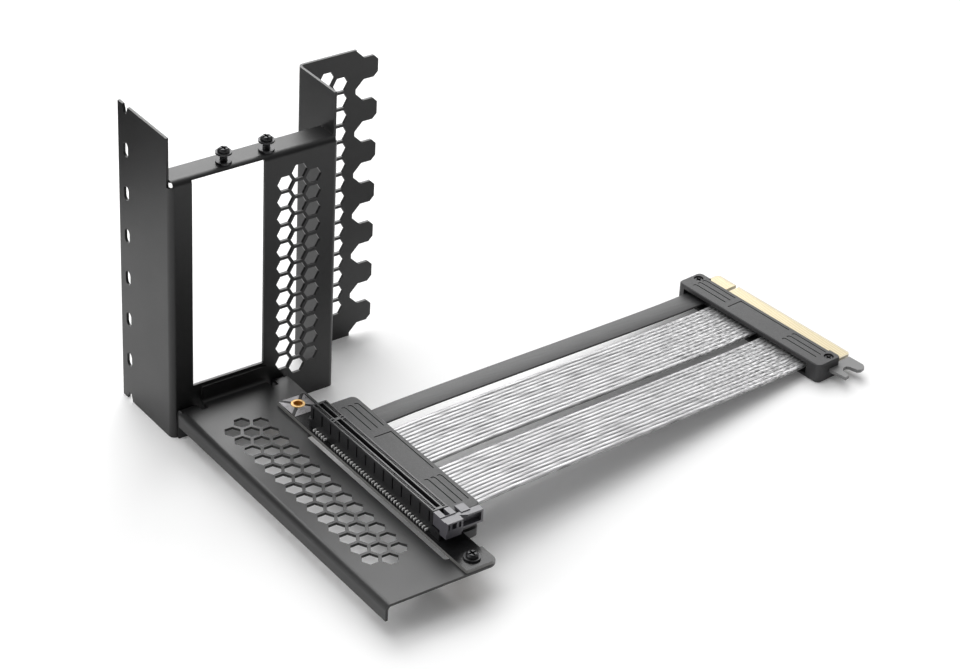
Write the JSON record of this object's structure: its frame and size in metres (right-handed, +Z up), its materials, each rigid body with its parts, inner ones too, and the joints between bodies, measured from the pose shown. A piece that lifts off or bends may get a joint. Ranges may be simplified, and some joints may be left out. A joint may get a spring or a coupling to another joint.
{
  "type": "vertical graphics card bracket",
  "caption": "Folded steel bracket that mounts a graphics card upright across a case's expansion slots, with a tray, a card slot with a latch and a flat riser cable to an edge plug.",
  "frame": {"origin": "bottom centre of the frame, tray and riser's slot, without the cable and plug", "axes": "+X from the screw flange to the tongues, +Y out of the case's rear, +Z up along the slots' pitch"},
  "size_m": [0.2883, 0.2, 0.1422],
  "materials": {
    "black_steel": "satin black powder coat",
    "black_screw": "blackened",
    "brass_nut": "satin",
    "board_mask": "black solder mask",
    "tinned_pad": "tinned",
    "gold_ring": "gilded",
    "slot_plastic": "glass filled",
    "contact_gold": "gilded",
    "tinned_tail": "soldered",
    "latch_plastic": "grained",
    "cover_plastic": "fine spark grain",
    "cable_black": "matte jacket",
    "cable_silver": "silver strands"
  },
  "bodies": {
    "bracket": {"slot_frame": "black_steel", "riser_tray": "black_steel", "tray_screws": "black_screw", "tray_nuts": "brass_nut", "card_screws": "black_screw", "card_screw_collars": "black_screw", "riser_board": "board_mask", "ground_pads": "tinned_pad", "board_eyelet": "gold_ring", "riser_screw": "black_screw", "slot_housing": "slot_plastic", "slot_contacts": "contact_gold", "slot_tails": "tinned_tail", "latch_pin": "black_screw", "cable_cover_top": "cover_plastic", "cable_cover_base": "cover_plastic", "cover_screws": "black_screw", "side_cable": "cable_black", "ribbon_rear": "cable_silver", "ribbon_front": "cable_silver", "plug_cover_top": "cover_plastic", "plug_cover_base": "cover_plastic", "plug_screws": "black_screw", "plug_board": "board_mask"},
    "latch": {"slot_latch": "latch_plastic"}
  },
  "joints": [
    {"name": "latch_hinge", "type": "hinge", "parent": "bracket", "child": "latch", "pos_m": [-0.0148, -0.0759, 0.0189], "axis": [1, 0, 0], "range_deg": [0, 20]}
  ]
}
